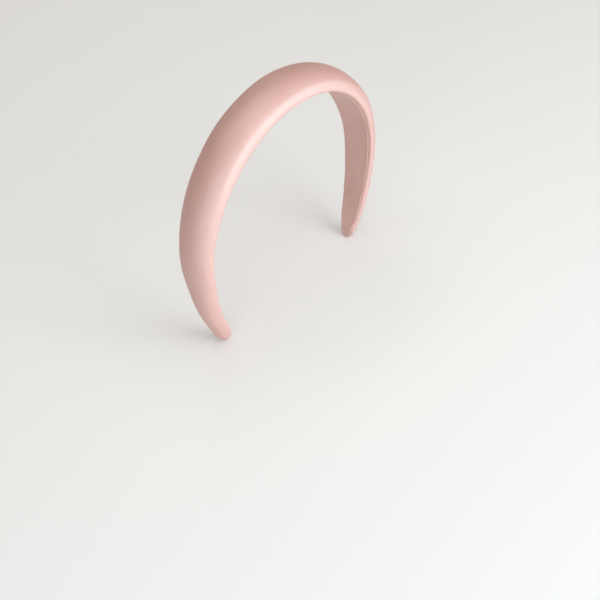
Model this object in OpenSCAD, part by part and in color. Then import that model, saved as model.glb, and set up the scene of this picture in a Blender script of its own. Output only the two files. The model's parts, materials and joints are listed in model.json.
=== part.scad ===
// Padded satin headband: an open, springy arch that grips a head from ear to ear.
// Millimetres. X runs ear to ear, +Y towards the back of the head, +Z up. The origin
// is the centre of the round crown, so the head's axis there runs along Y.
// Each layer is stored as a left and a right half, which turn about a hinge line in
// the middle of the core at the top of the crown: the flex of the one-piece band.

/* [Arch] */
// Inner radius of the round crown
crown_r = 76; // [74:0.5:80]
// Angle from the top of the crown to the place where each arm straightens, in degrees
crown_angle = 93.5; // [88:0.5:96]
// Inner radius of each arm below the crown
arm_r = 165; // [140:5:200]
// Length along the inner face from the top of the crown to one tip
half_length = 190; // [182:1:194]

/* [Padded section] */
// Width across the band at the crown
crown_w = 31; // [28:0.5:36]
// Width across the band just above the rounded tip
tip_w = 12; // [11:0.5:15]
// Thickness from the lining's inner face to the top of the pad, at the crown
crown_t = 14; // [12:0.5:18]
// Thickness near the tip
tip_t = 8.6; // [8:0.2:10]
// How late the width tapers: 1 is a straight taper, 3 keeps the crown wide for longer
width_power = 2; // [1.5:0.1:3]
// How late the thickness tapers
thickness_power = 1.4; // [1:0.1:2.5]
// Height at which the band is widest, where the satin folds round the core's edge
fold_h = 2.2; // [2:0.1:2.6]
// Width of the rounded fold
fold_w = 1.4; // [1.2:0.1:1.6]
// Length of the rounded tip
tip_round = 8.6; // [7.5:0.1:9.5]
// Height at which the rounded tip closes
tip_close_h = 2.8; // [2.4:0.1:3.4]

/* [Layers, from the head outwards] */
// Lining ribbon thickness
lining_t = 0.6; // [0.5:0.05:0.8]
// Satin thickness
satin_t = 0.4; // [0.3:0.05:0.5]
// Springy plastic core thickness
core_t = 1.8; // [1.6:0.1:2]
// Thickness of the double-sided tape under the pad
tape_t = 0.2; // [0.15:0.05:0.3]
// Lining width as a share of the band's width
lining_share = 0.78; // [0.74:0.01:0.82]
// Gap between the satin's turned-under margins, as a share of the band's width
slot_share = 0.6; // [0.5:0.01:0.66]
// Distance from the band's edge to the core's edge
core_inset = 1.9; // [1.8:0.1:2.4]
// How far short of the band's tip the core stops
core_stop = 5; // [4.5:0.5:8]
// How far short of the band's tip the pad stops
pad_stop = 2; // [1.5:0.5:3]
// How far short of the band's tip the lining's folded end stops
lining_stop = 5.5; // [5:0.5:9]

/* [Flex line] */
// Gap between the two halves at the hinge line
split_gap = 0.3; // [0.2:0.05:0.4]
// Half angle of the relief above the hinge line, for opening, in degrees
open_relief = 9.6; // [9.5:0.1:11]
// Half angle of the relief below the hinge line, for closing, in degrees
close_relief = 4.6; // [4.5:0.1:6]

/* [Hidden] */

satin_pink = [0.93, 0.74, 0.72];
lining_pink = [0.87, 0.66, 0.63];
core_white = [0.93, 0.92, 0.9];
foam_cream = [0.96, 0.93, 0.85];
tape_clear = [0.85, 0.85, 0.8];

$fn = 96;
chord_gap = 0.12;   // room for the facets of a swept ring against a true curve
eps = 0.02;         // air between layers that lie on each other
tape_play = 0.05;   // share of the band's width that the lining tape leaves free in its slot
tip_power = 0.7;    // below 1, the tip keeps its height longer than its width
band_rings = 25;    // ring steps from the crown to the start of the rounded tip
tip_rings = 6;      // ring steps round the tip
dome_steps = 12;    // steps across the domed top of a section
fold_steps = 3;     // steps round one folded edge
outline_steps = 24; // steps along a flat layer's tapered edge
core_end_steps = 8; // steps round the core's rounded end
flat_cap = 0.03;    // smallest share of the section that is left where the tip closes

rings = band_rings + tip_rings;

// heights above the lining's inner face
cover_h = lining_t + chord_gap;
core_h = cover_h + satin_t + eps;
tape_h = core_h + core_t;
pad_h = tape_h + tape_t + chord_gap;
hinge_z = crown_r + core_h + core_t / 2;

// how far short of the band's tip both tapes stop
tape_stop = core_stop + tip_round;

crown_len = crown_r * crown_angle * PI / 180;
tip_angle = crown_angle + (half_length - crown_len) / arm_r * 180 / PI;
arm_centre = (crown_r - arm_r) * [sin(crown_angle), cos(crown_angle)];

// Angle of the arch's outward normal from the vertical, at a length s from the crown
function arch_angle(s) = s < crown_len
    ? s / crown_r * 180 / PI
    : crown_angle + (s - crown_len) / arm_r * 180 / PI;

// Point [x, z] at a height h above the inner face
function arch_point(s, h) =
    let (a = arch_angle(s))
    s < crown_len
        ? (crown_r + h) * [sin(a), cos(a)]
        : arm_centre + (arm_r + h) * [sin(a), cos(a)];

// A size that falls from the crown's value to the tip's along the half
function taper(s, at_crown, at_tip, power) =
    at_tip + (at_crown - at_tip) * (1 - pow(s / half_length, power));
function half_width(s) = taper(s, crown_w, tip_w, width_power) / 2;
function thickness(s) = taper(s, crown_t, tip_t, thickness_power);

// Share of the section that is left at s, where a shape inset by d rounds off to its tip
function tip_cap(s, d) =
    let (e = max(0, s - half_length + tip_round) / (tip_round - d))
    max(flat_cap, sqrt(max(0, 1 - e * e)));

// Height of a point in the section, drawn towards the height where the tip closes
function tip_height(h, cap) = tip_close_h + (h - tip_close_h) * pow(cap, tip_power);

// Distance of the relief plane from the middle at a height z
function relief_x(z) = split_gap / 2
    + (z > hinge_z ? (z - hinge_z) * tan(open_relief) : (hinge_z - z) * tan(close_relief));

// Point [x, y, z] of a swept ring; the first ring lies on the relief planes
function ring_point(s, y, h) =
    let (p = arch_point(s, h))
    s == 0 ? [relief_x(p[1]), y, p[1]] : [p[0], y, p[1]];

// Length along the arch of ring i, for a shape that stops d short of the tip
function ring_s(i, d) =
    let (straight = half_length - tip_round)
    i <= band_rings
        ? straight * i / band_rings
        : straight + (tip_round - d) * sin(90 * (i - band_rings) / tip_rings);

// Section [y, h] of the band inset by d, from one slot edge over the dome to the other
function cover_section(s, d) =
    let (w = half_width(s) - d, top = thickness(s) - d, low = cover_h + d, fw = fold_w - d)
    concat(
        [[half_width(s) * slot_share, low]],
        [for (k = [0 : fold_steps - 1]) let (a = 90 * k / fold_steps)
            [w - fw + fw * sin(a), fold_h - (fold_h - low) * cos(a)]],
        [for (k = [0 : dome_steps]) let (a = 180 * k / dome_steps)
            [w * cos(a), fold_h + (top - fold_h) * sin(a)]],
        [for (k = [fold_steps - 1 : -1 : 0]) let (a = 90 * k / fold_steps)
            [-w + fw - fw * sin(a), fold_h - (fold_h - low) * cos(a)]],
        [[-half_width(s) * slot_share, low]]
    );

// One ring of the section inset by d
function cover_ring(i, d) =
    let (s = ring_s(i, d), cap = tip_cap(s, d))
    [for (p = cover_section(s, d)) ring_point(s, p[0] * cap, tip_height(p[1], cap))];

// Section of the pad: the inset dome above the tape, with a flat underside
function pad_section(s, d) =
    let (w = half_width(s) - d, top = thickness(s) - d, a0 = asin((pad_h - fold_h) / (top - fold_h)))
    [for (k = [0 : dome_steps]) let (a = a0 + (180 - 2 * a0) * k / dome_steps)
        [w * cos(a), fold_h + (top - fold_h) * sin(a)]];

// One ring of the pad. Its underside stays flat to the end, where the dome comes down to it
function pad_ring(i, d) =
    let (s = ring_s(i, pad_stop), cap = tip_cap(s, pad_stop))
    [for (p = pad_section(s, d)) ring_point(s, p[0] * cap, pad_h + (p[1] - pad_h) * cap)];

// Side wall triangles between neighbouring rings of n points
function ring_faces(n) = [
    for (i = [0 : rings - 1], j = [0 : n - 1]) let (a = i * n + j, b = i * n + (j + 1) % n)
        each [[a, b, b + n], [a, b + n, a + n]]
];

// Outer and inner edges of a shell's ring, joined into one closed loop
function shell_ring(i) =
    let (inner = cover_ring(i, satin_t))
    concat(cover_ring(i, 0), [for (j = [len(inner) - 1 : -1 : 0]) inner[j]]);

module left_cover_half() {
    n = len(shell_ring(0));
    last = rings * n;
    start_cap = [for (j = [0 : n / 2 - 2]) each [[j, n - 2 - j, j + 1], [j, n - 1 - j, n - 2 - j]]];
    end_cap = [for (f = start_cap) [f[0] + last, f[2] + last, f[1] + last]];
    polyhedron(
        points = [for (i = [0 : rings]) each shell_ring(i)],
        faces = concat(start_cap, ring_faces(n), end_cap)
    );
}

module left_pad_half() {
    d = satin_t + chord_gap + eps;
    n = dome_steps + 1;
    last = rings * n;
    polyhedron(
        points = [for (i = [0 : rings]) each pad_ring(i, d)],
        faces = concat(
            [for (j = [1 : n - 2]) [0, j + 1, j]],
            ring_faces(n),
            [for (j = [1 : n - 2]) [last, last + j, last + j + 1]]
        )
    );
}

// Ring sector about Y with its inner face at radius r, from one angle to the next
module sector(r, t, w, from, to) {
    rotate([90, to - 90, 0])
        rotate_extrude(angle = to - from)
            translate([r, -w / 2])
                square([t, w]);
}

// Flat layer that follows the arch of the left half, t thick with its inner face at height h
module arch_layer(h, t) {
    sector(crown_r + h, t, crown_w, 0, crown_angle);
    translate([arm_centre[0], 0, arm_centre[1]])
        sector(arm_r + h, t, crown_w, crown_angle, tip_angle);
}

// Prism along X that trims a layer to its tapered width; outline holds [half width, s] points
module trim(outline, h) {
    side = [for (p = outline) [p[0], arch_point(p[1], h)[1]]];
    top = crown_r + crown_t;
    rotate([90, 0, 90])
        linear_extrude(crown_r + arm_r)
            polygon(concat(
                [[-side[0][0], top], [side[0][0], top]],
                side,
                [for (j = [len(side) - 1 : -1 : 0]) [-side[j][0], side[j][1]]]
            ));
}

// Block that keeps the left half clear of the relief planes
module left_side() {
    up = crown_t + 5;      // past the top of the pad
    down = 20;             // past the inside of the lining
    far = 2 * half_length; // past everything else
    x_up = relief_x(hinge_z + up);
    x_down = relief_x(hinge_z - down);
    rotate([90, 0, 0])
        linear_extrude(2 * crown_w, center = true)
            polygon([
                [split_gap / 2, hinge_z], [x_down, hinge_z - down], [down, -far],
                [far, -far], [far, hinge_z + up], [x_up, hinge_z + up]
            ]);
}

// Flat tapered layer: share is its part of the band's width, stop its distance from the tip
module left_layer(h, t, share, stop) {
    end = half_length - stop;
    intersection() {
        arch_layer(h, t);
        trim([for (k = [0 : outline_steps]) let (s = end * k / outline_steps)
            [share * half_width(s), s]], h + t / 2);
        left_side();
    }
}

module left_core_half() {
    end = half_length - core_stop;
    end_r = half_width(end) - core_inset;
    straight = end - end_r;
    intersection() {
        arch_layer(core_h, core_t);
        trim(concat(
            [for (k = [0 : outline_steps]) let (s = straight * k / outline_steps)
                [half_width(s) - core_inset, s]],
            [for (k = [1 : core_end_steps]) let (a = 90 * k / core_end_steps, s = straight + end_r * sin(a))
                [max(flat_cap, (half_width(s) - core_inset) * cos(a)), s]]
        ), core_h + core_t / 2);
        left_side();
    }
}

// Springy plastic core
module left_core() color(core_white) left_core_half();
module right_core() color(core_white) mirror([1, 0, 0]) left_core_half();

// Domed foam pad, stuck to the outside of the core
module left_pad() color(foam_cream) left_pad_half();
module right_pad() color(foam_cream) mirror([1, 0, 0]) left_pad_half();

// Satin cover, drawn over the pad and turned under the core's edges
module left_satin_cover() color(satin_pink) left_cover_half();
module right_satin_cover() color(satin_pink) mirror([1, 0, 0]) left_cover_half();

// Lining ribbon over the satin's raw edges, against the head
module left_lining() color(lining_pink) left_layer(0, lining_t, lining_share, lining_stop);
module right_lining() mirror([1, 0, 0]) left_lining();

// Double-sided tape between the core and the pad
module left_pad_tape() color(tape_clear) left_layer(tape_h, tape_t, slot_share, tape_stop);
module right_pad_tape() mirror([1, 0, 0]) left_pad_tape();

// Double-sided tape that fills the slot between the satin's margins, under the lining
module left_lining_tape() color(tape_clear)
    left_layer(lining_t, core_h - lining_t, slot_share - tape_play, tape_stop);
module right_lining_tape() mirror([1, 0, 0]) left_lining_tape();

left_core();
right_core();
left_pad();
right_pad();
left_satin_cover();
right_satin_cover();
left_lining();
right_lining();
left_pad_tape();
right_pad_tape();
left_lining_tape();
right_lining_tape();
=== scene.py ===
import json
import math

import bmesh
import bpy
import numpy as np
from mathutils import Matrix, Vector


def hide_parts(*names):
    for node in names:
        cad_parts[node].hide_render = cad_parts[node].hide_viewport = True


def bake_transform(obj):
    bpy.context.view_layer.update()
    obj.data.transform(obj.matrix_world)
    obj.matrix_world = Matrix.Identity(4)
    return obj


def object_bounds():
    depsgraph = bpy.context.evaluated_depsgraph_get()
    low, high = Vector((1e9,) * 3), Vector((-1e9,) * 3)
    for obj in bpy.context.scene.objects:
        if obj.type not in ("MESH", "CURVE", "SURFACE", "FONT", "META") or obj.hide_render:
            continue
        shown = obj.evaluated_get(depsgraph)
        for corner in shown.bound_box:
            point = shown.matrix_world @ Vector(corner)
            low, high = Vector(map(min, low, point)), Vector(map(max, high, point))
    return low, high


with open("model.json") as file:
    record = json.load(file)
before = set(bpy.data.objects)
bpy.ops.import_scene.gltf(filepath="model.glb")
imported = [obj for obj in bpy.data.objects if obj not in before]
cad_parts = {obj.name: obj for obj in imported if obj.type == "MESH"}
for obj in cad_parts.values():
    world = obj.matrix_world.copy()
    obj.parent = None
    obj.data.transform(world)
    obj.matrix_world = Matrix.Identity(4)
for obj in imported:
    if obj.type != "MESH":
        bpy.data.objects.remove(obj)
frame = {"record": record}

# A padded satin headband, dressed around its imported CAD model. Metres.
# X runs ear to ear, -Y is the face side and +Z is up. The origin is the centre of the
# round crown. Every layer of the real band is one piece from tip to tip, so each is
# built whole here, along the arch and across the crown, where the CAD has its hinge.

CAD_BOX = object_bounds()
MM = 0.001

# ---- sizes: the CAD's driving dimensions, and what the frame gives -------------------

CROWN_R = frame["record"]["mounts"][0]["dims"]["r_mm"] * MM
CROWN_W = CAD_BOX[1][1] - CAD_BOX[0][1]
CROWN_T = CAD_BOX[1][2] - CROWN_R
FLOOR_Z = CAD_BOX[0][2]
FLOOR_GAP = 0.2 * MM
CROWN_ANGLE = math.radians(93.5)
ARM_R = 165 * MM
HALF_LENGTH = 190 * MM
TIP_W = 12 * MM
TIP_T = 8.6 * MM
WIDTH_POWER = 2
THICKNESS_POWER = 1.4
FOLD_H = 2.2 * MM  # the satin's fold round each long edge takes up this height and width
FOLD_W = 1.4 * MM
CROWN_LEN = CROWN_R * CROWN_ANGLE
TIP_ROUND = 8.6 * MM  # the tips round off over this length
TIP_CLOSE_H = 2.8 * MM  # the tips close at this height
TIP_CLOSE_POWER = 0.8  # below 1, the tips keep their height longer than their width

LINING_T = 0.6 * MM
LINING_SHARE = 0.78
LINING_STOP = 5.5 * MM
LINING_HEM = 7 * MM  # folded under at each end
LINING_HEM_H = 0.22 * MM  # and that much thicker there
LINING_NARROWS = 0.2  # its ends are drawn in, to lie within the satin
LINING_SELVEDGE = 0.09 * MM
SATIN_T = 0.35 * MM
SLOT_SHARE = 0.6  # of the width: the gap between the satin's turned-under margins
TAPE_PLAY = 0.05  # the lining tape is narrower than the slot by this share
CORE_INSET = 1.9 * MM
CORE_STOP = 5 * MM
PAD_STOP = 2 * MM
TAPE_STOP = CORE_STOP + TIP_ROUND
SATIN_H = 0.72 * MM  # heights above the lining's inner face
CORE_H = 1.14 * MM
CORE_TOP = 2.94 * MM
PAD_H = 3.26 * MM
PAD_INSET = 0.75 * MM  # from the satin's outside

CLOTH_FRAMES = 20
CLOTH_PRESSURE = 4.0
CLOTH_MASS = 0.001
CLOTH_SLACK = 0.004
MOST_MOVE = 0.5 * MM
FOAM_GIVE = 0.12 * MM  # how softly the foam stops the satin from moving inwards
EVEN_PASSES = 14
SWELL = 0.36 * MM  # the satin starts this much lower, and the simulation fills it out
SIDE_SWELL = 0.12 * MM


# ---- the arch and its section --------------------------------------------------------

def arch(s, h):
    """x and z at a height h above the inner face, a signed length s from the crown's top."""
    run = np.abs(s)
    on_crown = run < CROWN_LEN
    angle = np.where(on_crown, run / CROWN_R, CROWN_ANGLE + (run - CROWN_LEN) / ARM_R)
    radius = np.where(on_crown, CROWN_R, ARM_R) + h
    shift = np.where(on_crown, 0.0, CROWN_R - ARM_R)
    x = shift * math.sin(CROWN_ANGLE) + radius * np.sin(angle)
    z = shift * math.cos(CROWN_ANGLE) + radius * np.cos(angle)
    return np.where(s < 0, -x, x), z


def taper(s, at_crown, at_tip, power):
    return at_tip + (at_crown - at_tip) * (1 - (np.abs(s) / HALF_LENGTH) ** power)


def half_width(s):
    return taper(s, CROWN_W, TIP_W, WIDTH_POWER) / 2


def thickness(s):
    return taper(s, CROWN_T, TIP_T, THICKNESS_POWER)


def smoothstep(x, low, high):
    t = np.clip((x - low) / (high - low), 0, 1)
    return t * t * (3 - 2 * t)


def ripple(a, b, seed, waves=9):
    """Smooth noise of about -1 to 1 over two lengths counted in wavelengths; the same each run."""
    rng = np.random.default_rng(seed)
    total = 0.0
    for _ in range(waves):
        fa, fb = rng.uniform(0.55, 1.45, 2)
        total = total + np.sin(2 * np.pi * (fa * a + fb * b * rng.choice((-1, 1))) + rng.uniform(0, 6.3))
    return total / math.sqrt(waves)


def ripple_mm(s, around, height, along, across, seed):
    """Ripples of a height, with wavelengths along and across the band, all in millimetres."""
    return height * MM * ripple(s / (along * MM), around / (across * MM), seed)


def near_end(s, start, end):
    """Rises from 0 to 1 between two distances in millimetres from the band's tips."""
    return smoothstep(np.abs(s), HALF_LENGTH - start * MM, HALF_LENGTH - end * MM)


def tip_cap(s, stop, power=2):
    """Share of the section left at s, for a shape that rounds off to end `stop` short of the tip."""
    e = np.clip((np.abs(s) - HALF_LENGTH + TIP_ROUND) / (TIP_ROUND - stop), 0, 1)
    return np.sqrt(1 - e ** power)


def narrowed_cap(s, stop):
    """The same for the width, which the gathers at the tips draw in, and which ends more bluntly."""
    narrows = TIP_NARROWS * near_end(s, 15, 5)
    return tip_cap(s, stop, TIP_BLUNT) * (1 - narrows)


def mirrored(half):
    """A column of signed lengths, from a list that starts at the crown's top."""
    return np.array([-s for s in half[:0:-1]] + list(half))[:, None]


def to_rounded_tips(stop, step, tip_steps=10):
    """Lengths with rings crowded where the tips round off, `stop` short of the band's tips."""
    straight = HALF_LENGTH - TIP_ROUND
    half = list(np.linspace(0, straight, round(straight / step) + 1))
    turns = np.linspace(0, math.pi / 2, tip_steps + 1)[1:]
    return mirrored(half + list(straight + (TIP_ROUND - stop) * np.sin(turns)))


def to_square_ends(stop, step):
    end = HALF_LENGTH - stop
    return mirrored(list(np.linspace(0, end, round(end / step) + 1)))


def cut_from(middle, width, hem=0.0):
    """A flat cut's widest width and length, and its area, from its middle line and its widths there."""
    steps = np.linalg.norm(np.diff(middle, axis=0), axis=1)
    area = np.sum((width[1:, 0] + width[:-1, 0]) / 2 * steps) + 2 * hem * width[-1, 0]
    return (float(width.max()), float(steps.sum()) + 2 * hem), float(area)


def place(s, y, h):
    """Ring points in space, from arrays of length, sideways offset and height."""
    s, y, h = np.broadcast_arrays(s, y, h)
    x, z = arch(s, h)
    return np.stack([x, y, z], axis=-1)


# ---- meshes --------------------------------------------------------------------------

def grid_mesh(name, points, uv, closed=False, capped=False):
    """A mesh of quads from an array of rings.

    `closed` joins each ring's ends, and `capped` fills the two outer rings."""
    rings, count = points.shape[:2]
    span = count if closed else count - 1
    faces, corners = [], []
    for i in range(rings - 1):
        for j in range(span):
            k = (j + 1) % count
            faces.append((i * count + j, (i + 1) * count + j, (i + 1) * count + k, i * count + k))
            corners += [uv[i, j], uv[i + 1, j], uv[i + 1, j + 1], uv[i, j + 1]]
    if capped:
        for ring, order in ((0, range(count)), (rings - 1, range(count - 1, -1, -1))):
            faces.append(tuple(ring * count + j for j in order))
            corners += [uv[ring, j] for j in order]
    mesh = bpy.data.meshes.new(name)
    mesh.from_pydata(points.reshape(-1, 3).tolist(), [], faces)
    layer = mesh.uv_layers.new(name="cloth")
    layer.data.foreach_set("uv", np.array(corners, np.float32).ravel())
    mesh.polygons.foreach_set("use_smooth", [True] * len(mesh.polygons))
    mesh.update()
    return linked(name, mesh)


def linked(name, mesh):
    obj = bpy.data.objects.new(name, mesh)
    bpy.context.scene.collection.objects.link(obj)
    return obj


def lengths_around(points):
    """Distance along each ring from its first point, one longer than the ring, for UVs in metres."""
    steps = np.linalg.norm(np.diff(points, axis=1, append=points[:, :1]), axis=2)
    return np.concatenate([np.zeros((len(points), 1)), np.cumsum(steps, axis=1)], axis=1)


def metric_uv(s, points):
    around = lengths_around(points)
    middle = around[:, -2:-1] / 2
    return np.stack(np.broadcast_arrays(s, around - middle), axis=-1)


def add_modifier(obj, kind, **settings):
    modifier = obj.modifiers.new(kind.lower(), kind)
    for key, value in settings.items():
        setattr(modifier, key, value)
    return modifier


def apply_modifiers(obj):
    """Bakes the modifiers into the mesh."""
    bpy.context.view_layer.update()
    final = bpy.data.meshes.new_from_object(obj.evaluated_get(bpy.context.evaluated_depsgraph_get()))
    obj.modifiers.clear()
    obj.data = final


def merge_points(obj):
    """Joins points that lie on each other, as the last ring's do at a closed tip."""
    work = bmesh.new()
    work.from_mesh(obj.data)
    bmesh.ops.remove_doubles(work, verts=work.verts, dist=0.002 * MM)
    work.to_mesh(obj.data)
    work.free()


def grid_normals(points):
    along = np.gradient(points, axis=0)
    across = np.gradient(points, axis=1)
    normal = np.cross(across, along)
    return normal / np.maximum(np.linalg.norm(normal, axis=2, keepdims=True), 1e-12)


# ---- satin cover ---------------------------------------------------------------------

MARGIN_STEPS, EDGE_STEPS, DOME_STEPS = 4, 5, 56
SATIN_STEP = 2.2 * MM
HELD_COLUMNS = MARGIN_STEPS + 2  # the turned-under margin and the start of the fold are glued down
TIP_PINCH = 1.3 * MM  # past the lining's end the satin is drawn in this far
TIP_NARROWS = 0.2  # the gathers take up this share of the width
TIP_BLUNT = 2.6  # 2 would be an ellipse
TIP_JOIN = 0.02  # added to the slot all along; at the tips it is all that's left of it
FOLD_REACH = 2.6 * MM  # the puckers run this far from the folds


def cover_section(s):
    """Sideways offset and height of the satin, from one turned-under margin over the dome to the other."""
    w, top = half_width(s) - SIDE_SWELL, thickness(s) - SWELL
    slot = SLOT_SHARE * (1 - near_end(s, 16, 9)) + TIP_JOIN
    margin = np.linspace(0, 1, MARGIN_STEPS, endpoint=False)[None]
    edge = np.linspace(0, np.pi / 2, EDGE_STEPS, endpoint=False)[None]
    dome = np.linspace(0, np.pi, DOME_STEPS + 1)[None]
    inner_h = SATIN_H + TIP_PINCH * smoothstep(np.abs(s), HALF_LENGTH - LINING_STOP, HALF_LENGTH - 3 * MM)
    flat_y = slot * w + (w - FOLD_W - slot * w) * margin
    flat_h = inner_h + 0 * flat_y
    fold_y = w - FOLD_W + FOLD_W * np.sin(edge)
    fold_h = FOLD_H - (FOLD_H - inner_h) * np.cos(edge)
    dome_y, dome_h = w * np.cos(dome), FOLD_H + (top - FOLD_H) * np.sin(dome)
    y = np.concatenate([flat_y, fold_y, dome_y, -fold_y[:, ::-1], -flat_y[:, ::-1]], axis=1)
    h = np.concatenate([flat_h, fold_h, dome_h, fold_h[:, ::-1], flat_h[:, ::-1]], axis=1)
    closed_h = TIP_CLOSE_H + (h - TIP_CLOSE_H) * tip_cap(s, 0) ** TIP_CLOSE_POWER
    return y * narrowed_cap(s, 0), closed_h


def bell(s, middle, reach):
    return np.exp(-((s - middle * MM) / (reach * MM)) ** 2)


def satin_relief(s, around, edge_at):
    """How far the satin stands off the smooth shape.

    Soft foam, puckers at the folds, gathers and pleats at the tips, and creases where it is drawn."""
    inside = edge_at - np.abs(around)  # positive on the dome, negative on the turned-under margin
    near_fold = np.exp(-(inside / FOLD_REACH) ** 2)
    down_arm = smoothstep(np.abs(s), 20 * MM, 150 * MM)
    tips = near_end(s, 24, 4) * tip_cap(s, 0)
    on_margin = smoothstep(-inside, -2 * MM, 1 * MM)
    drawn = bell(s, 95, 32) + 0.5 * bell(s, -168, 16)
    foam = ripple_mm(s, around, 0.10, 46, 30, seed=3)
    pucker = near_fold * ripple_mm(s, around, 0.03 + 0.05 * down_arm, 6, 26, seed=5)
    gather = tips * ripple_mm(s, around, 0.07, 50, 2.8, seed=8)
    pleats = tips * on_margin * ripple_mm(s, around, 0.16, 40, 1.9, seed=9)
    crease = drawn * ripple_mm(s, around, 0.035, 50, 2.9, seed=12)
    return foam + pucker + gather + pleats + crease


def satin_cover():
    """The satin: one sheet drawn over the pad, folded round both edges and turned under."""
    s = to_rounded_tips(0, SATIN_STEP)
    y, h = cover_section(s)
    points = place(s, y, h)
    uv = metric_uv(s, points)
    around = uv[:, :-1, 1]
    edge_at = np.abs(around[:, MARGIN_STEPS + EDGE_STEPS - 1])[:, None]
    points = points + grid_normals(points) * satin_relief(s, around, edge_at)[..., None]
    cover = grid_mesh("satin_cover", points, uv)
    count = points.shape[1]
    held = [i * count + j for i in range(len(s)) for j in range(count)
            if j < HELD_COLUMNS or j >= count - HELD_COLUMNS or tip_cap(s[i, 0], 0) < 0.75]
    cover.vertex_groups.new(name="held").add(held, 1.0, "REPLACE")
    merge_points(cover)
    draw_tight(cover)
    add_modifier(cover, "SUBSURF", levels=1, render_levels=1)
    add_modifier(cover, "SOLIDIFY", thickness=SATIN_T, offset=-1, use_rim=True)
    apply_modifiers(cover)
    cover.vertex_groups.clear()
    return cover, cut_from(points[:, count // 2], around[:, -1:] - around[:, :1])


def draw_tight(cover):
    """Cloth simulation: the foam pushes the satin outwards from where its margins are glued."""
    rest = np.array([v.co for v in cover.data.vertices])
    normal = np.array([v.normal for v in cover.data.vertices])
    cloth = add_modifier(cover, "CLOTH")
    settings = cloth.settings
    settings.quality = 5
    settings.mass = CLOTH_MASS
    settings.use_pressure = True
    settings.uniform_pressure_force = CLOTH_PRESSURE
    settings.vertex_group_mass = "held"
    settings.shrink_min = -CLOTH_SLACK
    settings.effector_weights.gravity = 0
    cloth.point_cache.frame_start, cloth.point_cache.frame_end = 1, CLOTH_FRAMES
    for number in range(1, CLOTH_FRAMES + 1):
        bpy.context.scene.frame_set(number)
    apply_modifiers(cover)
    moved = np.array([v.co for v in cover.data.vertices]) - rest
    out = np.sum(moved * normal, axis=1)
    held_out = FOAM_GIVE * np.logaddexp(0, out / FOAM_GIVE) - FOAM_GIVE * math.log(2) * (out == 0)
    held_out = evened(cover, MOST_MOVE * np.tanh(held_out / MOST_MOVE), EVEN_PASSES)
    cover.data.vertices.foreach_set("co", (rest + normal * held_out[:, None]).ravel())
    cover.data.update()
    bpy.context.scene.frame_set(1)


def evened(obj, values, passes):
    """Values at the points of a mesh, each averaged with its neighbours' a number of times."""
    ends = np.array([e.vertices[:] for e in obj.data.edges])
    count = np.bincount(ends.ravel(), minlength=len(values))
    for _ in range(passes):
        total = np.bincount(ends[:, 0], values[ends[:, 1]], len(values))
        total += np.bincount(ends[:, 1], values[ends[:, 0]], len(values))
        values = 0.5 * values + 0.5 * total / np.maximum(count, 1)
    return values


# ---- lining, core, pad and tapes -----------------------------------------------------

def strip(name, s, half, low, high, flat=np.linspace(1, -1, 15), edge_steps=5, relief=0.0):
    """A flat layer along the arch with rounded long edges.

    half, low and high are columns over s, flat the places across it, and relief raises its inner face."""
    flat = flat[None]
    r = (high - low) / 2
    turn = np.linspace(0, np.pi, edge_steps + 2)[None, 1:-1]
    y = np.concatenate([(half - r) * flat, -(half - r) - r * np.sin(turn),
                        -(half - r) * flat, half - r + r * np.sin(turn)], axis=1)
    h = np.concatenate([low - relief + 0 * flat, low + r - r * np.cos(turn),
                        high + 0 * flat, low + r + r * np.cos(turn)], axis=1)
    points = place(s, y, h)
    return grid_mesh(name, points, metric_uv(s, points), closed=True, capped=True)


def lining():
    """The ribbon over the satin's raw edges, with a woven selvedge. Its ends are folded under."""
    s = to_square_ends(LINING_STOP, 1.2 * MM)
    end = HALF_LENGTH - LINING_STOP
    half = LINING_SHARE * half_width(s) + ripple_mm(s, 0, 0.09, 17, 1, seed=21)
    half = half * (1 - LINING_NARROWS * smoothstep(np.abs(s), end - 10 * MM, end))
    folded = smoothstep(np.abs(s), end - LINING_HEM - 0.4 * MM, end - LINING_HEM + 0.4 * MM)
    rounded = smoothstep(end - np.abs(s), 0, 0.5 * MM)
    low = ripple_mm(s, 0, 0.03, 23, 1, seed=22) - LINING_HEM_H * folded * (0.4 + 0.6 * rounded)
    flat = np.concatenate([[1, 0.96, 0.92, 0.89], np.linspace(0.85, -0.85, 18), [-0.89, -0.92, -0.96, -1]])
    selvedge = LINING_SELVEDGE * smoothstep(np.abs(flat), 0.89, 0.93)[None] * np.ones_like(s)
    ribbon = strip("lining", s, half, low, LINING_T + 0 * s, flat=flat, relief=selvedge)
    return ribbon, cut_from(s, 2 * half, LINING_HEM)  # the inner face's own length


CORE_RINGS, CORE_TIP_RINGS = 80, 12


def core():
    """The springy plastic band. Its ends are round."""
    end = HALF_LENGTH - CORE_STOP
    end_r = half_width(end) - CORE_INSET
    straight = list(np.linspace(0, end - end_r, CORE_RINGS))
    last_turn = math.pi / 2 - 0.02  # just short of the very end, so that the last ring isn't a line
    turns = np.linspace(0, last_turn, CORE_TIP_RINGS)[1:]
    s = mirrored(straight + list(end - end_r + end_r * np.sin(turns)))
    past = np.clip((np.abs(s) - end + end_r) / end_r, 0, 1)
    least = 0.95 * MM  # keeps the edges' rounding from crossing at the ends
    half = np.maximum((half_width(s) - CORE_INSET) * np.sqrt(1 - past * past), least)
    return strip("core", s, half, CORE_H + 0 * s, CORE_TOP + 0 * s)


def tape(name, low, high, share):
    s = to_square_ends(TAPE_STOP, 3 * MM)
    flat = np.linspace(1, -1, 7)
    return strip(name, s, share * half_width(s), low + 0 * s, high + 0 * s, flat=flat, edge_steps=1)


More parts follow.
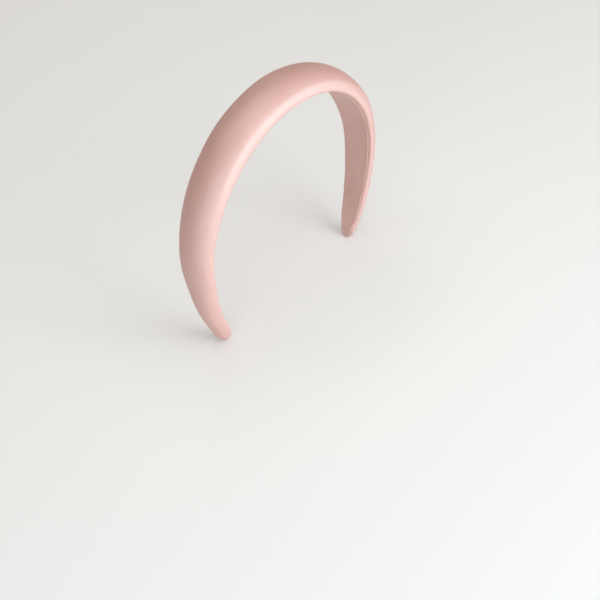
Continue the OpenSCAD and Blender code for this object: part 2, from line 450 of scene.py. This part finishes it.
def pad():
    """The sponge: a domed top on a flat underside, rounded off at the tips."""
    s = to_rounded_tips(PAD_STOP, 3 * MM, tip_steps=6)[1:-1]
    w, top = half_width(s) - PAD_INSET, thickness(s) - PAD_INSET
    start = np.arcsin((PAD_H - FOLD_H) / (top - FOLD_H))
    turn = start + (np.pi - 2 * start) * np.linspace(0, 1, 25)[None]
    cap = tip_cap(s, PAD_STOP)
    dome_y, dome_h = -w * np.cos(turn), FOLD_H + (top - FOLD_H) * np.sin(turn)
    under = np.linspace(-1, 1, 10)[None, 1:-1]
    y = np.concatenate([dome_y, dome_y[:, :1] * under], axis=1) * narrowed_cap(s, PAD_STOP)
    h = np.concatenate([dome_h, PAD_H + 0 * s * under], axis=1)
    points = place(s, y, PAD_H + (h - PAD_H) * cap)
    return grid_mesh("foam_pad", points, metric_uv(s, points), closed=True, capped=True)


# ---- build ---------------------------------------------------------------------------

cover, (cover_cut, cover_area) = satin_cover()
ribbon, (ribbon_cut, ribbon_area) = lining()
band = core()
sponge = pad()
pad_tape = tape("pad_tape", CORE_TOP, PAD_H, SLOT_SHARE)
lining_tape = tape("lining_tape", LINING_T, CORE_H, SLOT_SHARE - TAPE_PLAY)


# ---- materials -----------------------------------------------------------------------

RIB_PITCH = 1.0  # millimetres, as in all the material functions


class Nodes:
    """A short way to write a material's node tree."""

    def __init__(self, name):
        self.material = bpy.data.materials.new(name)
        self.material.use_nodes = True
        self.tree = self.material.node_tree
        self.shader = self.tree.nodes["Principled BSDF"]

    def add(self, kind, inputs=None, **settings):
        node = self.tree.nodes.new("ShaderNode" + kind)
        for key, value in settings.items():
            setattr(node, key, value)
        for key, value in (inputs or {}).items():
            self.feed(node.inputs[key], value)
        return node

    def feed(self, socket, value):
        if isinstance(value, bpy.types.NodeSocket):
            self.tree.links.new(value, socket)
        else:
            socket.default_value = value

    def set(self, **sockets):
        for key, value in sockets.items():
            self.feed(self.shader.inputs[key.replace("_", " ")], value)


def cloth_lengths(n):
    """The two lengths in millimetres along and across the cloth, as one vector."""
    uv = n.add("UVMap", uv_map="cloth").outputs[0]
    return n.add("VectorMath", {0: uv, 1: (1000, 1000, 1000)}, operation="MULTIPLY").outputs[0]


def stretched_noise(n, lengths, along, across, detail=2.0, roughness=0.5):
    """Noise whose marks are about `along` by `across` millimetres."""
    scaled = n.add("VectorMath", {0: lengths, 1: (1 / along, 1 / across, 0)}, operation="MULTIPLY").outputs[0]
    noise = n.add("TexNoise", {"Vector": scaled, "Scale": 1.0, "Detail": detail, "Roughness": roughness})
    return noise.outputs["Fac"]


def remap(n, value, low, high, from_low=0.3, from_high=0.7):
    inputs = {"Value": value, "From Min": from_low, "From Max": from_high, "To Min": low, "To Max": high}
    return n.add("MapRange", inputs).outputs[0]


def mix_colour(n, factor, a, b):
    node = n.add("Mix", data_type="RGBA")
    for key, value in (("Factor_Float", factor), ("A_Color", a), ("B_Color", b)):
        n.feed(next(i for i in node.inputs if i.identifier == key), value)
    return next(o for o in node.outputs if o.identifier == "Result_Color")


def bump(n, height, distance_mm, strength=1.0, below=None):
    inputs = {"Height": height, "Distance": distance_mm * MM, "Strength": strength}
    if below is not None:
        inputs["Normal"] = below
    return n.add("Bump", inputs).outputs[0]


def math_node(n, operation, a, b=0.0):
    return n.add("Math", {0: a, 1: b}, operation=operation).outputs[0]


def window(n, value, centre, reach):
    """1 where value is at centre, falling smoothly to 0 at `reach` from it."""
    away = math_node(n, "ABSOLUTE", math_node(n, "SUBTRACT", value, centre))
    inputs = {"Value": away, "From Min": 0, "From Max": reach, "To Min": 1, "To Max": 0}
    return n.add("MapRange", inputs, interpolation_type="SMOOTHSTEP").outputs[0]


def ribs(n, value, pitch):
    """A wave from -1 to 1 with a crest every `pitch`."""
    return math_node(n, "SINE", math_node(n, "MULTIPLY", value, 2 * math.pi / pitch))


def satin_material():
    """Polyester satin: long warp floats along the band, so it shines in soft lengthwise streaks."""
    n = Nodes("satin")
    lengths = cloth_lengths(n)
    along = n.add("SeparateXYZ", {0: lengths}).outputs["X"]
    floats = stretched_noise(n, lengths, 1.6, 0.11, detail=1.0)
    grain = stretched_noise(n, lengths, 2.6, 0.55)
    slubs = stretched_noise(n, lengths, 26, 0.9)
    creases = stretched_noise(n, lengths, 30, 1.5, detail=1.0)
    clouds = stretched_noise(n, lengths, 34, 17, detail=3.0)
    drawn = math_node(n, "ADD", window(n, along, 96, 42), window(n, along, -172, 24))
    lit = mix_colour(n, remap(n, clouds, 0, 1), (0.560, 0.268, 0.220, 1), (0.610, 0.302, 0.252, 1))
    n.set(Base_Color=mix_colour(n, remap(n, slubs, 0, 0.5), lit, (0.63, 0.33, 0.285, 1)))
    n.set(Roughness=remap(n, slubs, 0.54, 0.66), Specular_IOR_Level=1.0, IOR=2.0)
    n.set(Anisotropic=0.3)
    n.set(Tangent=n.add("Tangent", direction_type="UV_MAP", uv_map="cloth").outputs[0])
    n.set(Sheen_Weight=0.03, Sheen_Roughness=0.4, Sheen_Tint=(1.0, 0.86, 0.82, 1))
    creased = bump(n, math_node(n, "MULTIPLY", creases, drawn), 0.16, below=bump(n, slubs, 0.045))
    n.set(Normal=bump(n, floats, 0.014, below=bump(n, grain, 0.03, below=creased)))
    return n.material


def lining_material():
    """Ribbed ribbon: fine ribs straight across, a little darker and duller than the satin."""
    n = Nodes("lining")
    lengths = cloth_lengths(n)
    split = n.add("SeparateXYZ", {0: lengths})
    wander = math_node(n, "MULTIPLY", stretched_noise(n, lengths, 9, 6), 0.35)
    rib = ribs(n, math_node(n, "ADD", split.outputs["X"], wander), RIB_PITCH)
    warp = stretched_noise(n, lengths, 2.4, 0.16, detail=1.0)
    worn = stretched_noise(n, lengths, 21, 9, detail=3.0)
    cloth = mix_colour(n, remap(n, worn, 0, 1), (0.66, 0.390, 0.335, 1), (0.72, 0.440, 0.385, 1))
    # The hollows between the ribs are painted darker: painted shade in the grooves.
    n.set(Base_Color=mix_colour(n, remap(n, rib, 0.32, 0, -1, 0.4), cloth, (0.50, 0.265, 0.220, 1)))
    n.set(Roughness=remap(n, warp, 0.50, 0.66), Specular_IOR_Level=0.45)
    n.set(Sheen_Weight=0.2, Sheen_Roughness=0.5, Sheen_Tint=(1.0, 0.84, 0.79, 1))
    n.set(Normal=bump(n, warp, 0.02, below=bump(n, rib, 0.10)))
    return n.material


def foam_material():
    """Cream polyurethane sponge, with open cells of about half a millimetre."""
    n = Nodes("foam")
    where = n.add("TexCoord").outputs["Object"]
    cells = n.add("TexVoronoi", {"Vector": where, "Scale": 1 / (0.55 * MM)}).outputs["Distance"]
    age = n.add("TexNoise", {"Vector": where, "Scale": 90.0, "Detail": 3.0}).outputs["Fac"]
    body = mix_colour(n, remap(n, age, 0, 1), (0.86, 0.81, 0.64, 1), (0.80, 0.73, 0.53, 1))
    # The middles of the cells are painted darker: painted shade in the open pores.
    n.set(Base_Color=mix_colour(n, remap(n, cells, 0.35, 0, 0, 0.35), body, (0.52, 0.45, 0.30, 1)))
    n.set(Roughness=remap(n, age, 0.85, 0.95), Specular_IOR_Level=0.2)
    n.set(Normal=bump(n, cells, 0.25))
    return n.material


def core_material():
    """White springy plastic, stamped from sheet: faint lengthwise drawing marks."""
    n = Nodes("core_plastic")
    lengths = cloth_lengths(n)
    marks = stretched_noise(n, lengths, 60, 0.5, detail=3.0)
    haze = stretched_noise(n, lengths, 18, 12, detail=3.0)
    n.set(Base_Color=mix_colour(n, remap(n, haze, 0, 1), (0.80, 0.80, 0.775, 1), (0.86, 0.855, 0.835, 1)))
    n.set(Roughness=remap(n, marks, 0.30, 0.44), Specular_IOR_Level=0.5)
    n.set(Normal=bump(n, marks, 0.02))
    return n.material


def tape_material():
    """Double-sided tissue tape: a pale film of short fibres under a slightly shiny adhesive."""
    n = Nodes("tape")
    lengths = cloth_lengths(n)
    fibres = stretched_noise(n, lengths, 3.5, 0.5, detail=4.0, roughness=0.7)
    bubbles = stretched_noise(n, lengths, 2.2, 2.2)
    n.set(Base_Color=mix_colour(n, remap(n, fibres, 0, 1), (0.84, 0.82, 0.75, 1), (0.92, 0.91, 0.87, 1)))
    n.set(Roughness=remap(n, bubbles, 0.28, 0.5), Specular_IOR_Level=0.5)
    n.set(Normal=bump(n, bubbles, 0.03, below=bump(n, fibres, 0.02)))
    return n.material


FINISHES = (([cover], satin_material()), ([ribbon], lining_material()), ([sponge], foam_material()),
            ([band], core_material()), ([pad_tape, lining_tape], tape_material()))
for pieces, finish in FINISHES:
    for piece in pieces:
        piece.data.materials.append(finish)

# ---- stage, camera, lights -----------------------------------------------------------

CAMERA_AZ, CAMERA_EL, CAMERA_ROLL = (math.radians(a) for a in (-48.05, 41.84, -3.75))
CAMERA_DISTANCE = 0.9
LENS = 86.3
AIM = Vector((0, 0, 6 * MM))
AIM_RIGHT, AIM_UP = 11.1 * MM, -66.7 * MM  # the band sits up and left of the frame's centre


def camera():
    back = Vector((math.sin(CAMERA_AZ) * math.cos(CAMERA_EL),
                   -math.cos(CAMERA_AZ) * math.cos(CAMERA_EL), math.sin(CAMERA_EL)))
    level = Vector((math.cos(CAMERA_AZ), math.sin(CAMERA_AZ), 0))
    upright = back.cross(level)
    right = level * math.cos(CAMERA_ROLL) + upright * math.sin(CAMERA_ROLL)
    up = upright * math.cos(CAMERA_ROLL) - level * math.sin(CAMERA_ROLL)
    data = bpy.data.cameras.new("camera")
    data.lens = LENS
    obj = bpy.data.objects.new("camera", data)
    obj.matrix_world = Matrix((right, up, back)).transposed().to_4x4()
    obj.location = AIM + back * CAMERA_DISTANCE + right * AIM_RIGHT + up * AIM_UP
    bpy.context.scene.collection.objects.link(obj)
    bpy.context.scene.camera = obj


def area_light(name, where, size, power, colour=(1, 1, 1)):
    data = bpy.data.lights.new(name, "AREA")
    data.shape = "RECTANGLE"
    data.size, data.size_y = size
    data.energy = power
    data.color = colour
    obj = bpy.data.objects.new(name, data)
    obj.location = where
    obj.rotation_euler = (Vector((0, 0, 0)) - Vector(where)).to_track_quat("-Z", "Y").to_euler()
    bpy.context.scene.collection.objects.link(obj)


def stage():
    half = 4.0
    corners = [(-half, -half, 0), (half, -half, 0), (half, half, 0), (-half, half, 0)]
    mesh = bpy.data.meshes.new("floor")
    mesh.from_pydata(corners, [], [(0, 1, 2, 3)])
    floor = linked("floor", mesh)
    floor.location.z = FLOOR_Z - FLOOR_GAP
    n = Nodes("floor_paint")
    n.set(Base_Color=(0.93, 0.93, 0.925, 1), Roughness=0.9)
    mesh.materials.append(n.material)
    world = bpy.data.worlds.new("room")
    world.use_nodes = True
    world.node_tree.nodes["Background"].inputs["Color"].default_value = (1.0, 0.985, 0.97, 1)
    world.node_tree.nodes["Background"].inputs["Strength"].default_value = 0.22
    bpy.context.scene.world = world
    bpy.context.scene.view_settings.view_transform = "Standard"


camera()
stage()
area_light("key", (0.12, -1.2, 0.05), (0.9, 0.7), 13.9, (0.81, 0.94, 1.0))
area_light("front_high", (0.1, -1.0, 0.8), (0.8, 0.7), 3.4, (0.97, 0.98, 1.0))
area_light("front_left", (-1.1, -0.6, 0.25), (0.8, 0.6), 5.1, (0.76, 0.93, 1.0))
area_light("overhead", (0, 0, 1.6), (2.2, 2.2), 16.9, (1.0, 0.93, 0.855))
area_light("front_right", (0.75, -1.1, 0.0), (0.5, 0.3), 4.6, (0.70, 0.94, 1.0))
area_light("back", (0.6, 1.2, 0.5), (1.0, 0.8), 1.5, (1.0, 0.95, 0.90))

# ---- each piece, baked in place, hides the CAD parts it stands for -------------------


def declare(piece, nodes):
    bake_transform(piece)
    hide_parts("left_" + nodes, "right_" + nodes)


declare(cover, "satin_cover")
declare(ribbon, "lining")
declare(band, "core")
declare(sponge, "pad")
declare(pad_tape, "pad_tape")
declare(lining_tape, "lining_tape")
